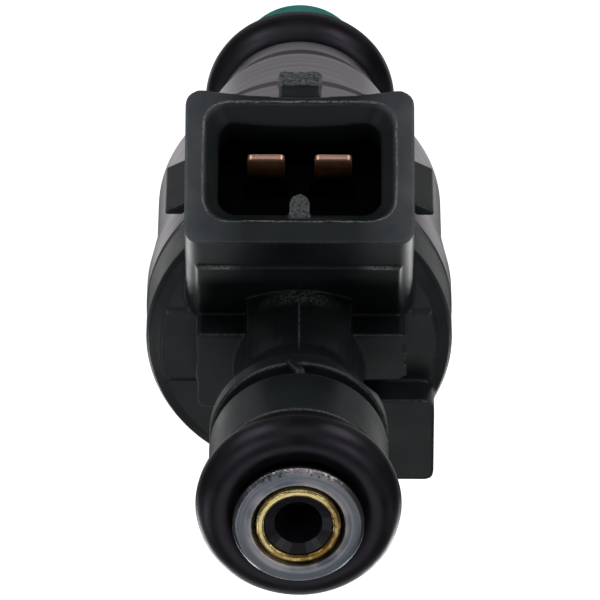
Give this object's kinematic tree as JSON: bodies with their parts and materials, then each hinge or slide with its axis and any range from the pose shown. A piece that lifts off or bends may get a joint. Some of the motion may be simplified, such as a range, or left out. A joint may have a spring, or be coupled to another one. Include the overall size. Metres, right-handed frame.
{
  "type": "fuel injector",
  "caption": "Top-feed solenoid fuel injector with a leaning two-blade electrical socket, O-rings at both ends, inlet strainer, coil, spring-loaded armature and pintle needle.",
  "frame": {"origin": "on the injector's axis at the middle of the nozzle-end O-ring", "axes": "+Z along the injector's axis towards the fuel inlet; the electrical socket leans out towards -Y; +X completes the right-handed frame"},
  "size_m": [0.0232, 0.0322, 0.0723],
  "materials": {
    "rubber": "smooth oiled black rubber",
    "cap_plastic": "teal green moulded plastic",
    "body_steel": "turned grey steel",
    "housing_steel": "turned and plated grey steel",
    "spring_steel": "bright spring steel",
    "magnet_steel": "soft magnetic iron",
    "tube_steel": "turned blue-grey steel with bright edges",
    "moulding": "satin black glass-filled plastic",
    "bobbin_plastic": "plain dark plastic",
    "copper": "enamelled copper wire",
    "contact": "dull copper with bright tips",
    "brass": "bright yellow brass",
    "gauze": "fine woven strainer gauze"
  },
  "bodies": {
    "injector_body": {"nozzle_o_ring": "rubber", "inlet_o_ring": "rubber", "valve_body_seal": "rubber", "lower_coil_seal": "rubber", "upper_coil_seal": "rubber", "pintle_cap": "cap_plastic", "valve_body": "body_steel", "stop_washer": "spring_steel", "valve_housing": "housing_steel", "coil_bobbin": "bobbin_plastic", "coil_winding": "copper", "flux_plate": "magnet_steel", "inlet_tube": "tube_steel", "adjusting_sleeve": "spring_steel", "return_spring": "spring_steel", "filter_ring": "brass", "filter_cage": "moulding", "filter_screen": "gauze", "connector_body": "moulding", "terminal_left": "contact", "terminal_right": "contact"},
    "needle": {"valve_needle": "body_steel", "armature": "magnet_steel"}
  },
  "joints": [
    {"name": "needle_lift", "type": "slide", "parent": "injector_body", "child": "needle", "axis": [0, 0, 1], "range_m": [0, 0.0001], "stiffness_N_per_m": 2000, "springref_m": -0.004, "deforming": ["return_spring"]}
  ]
}
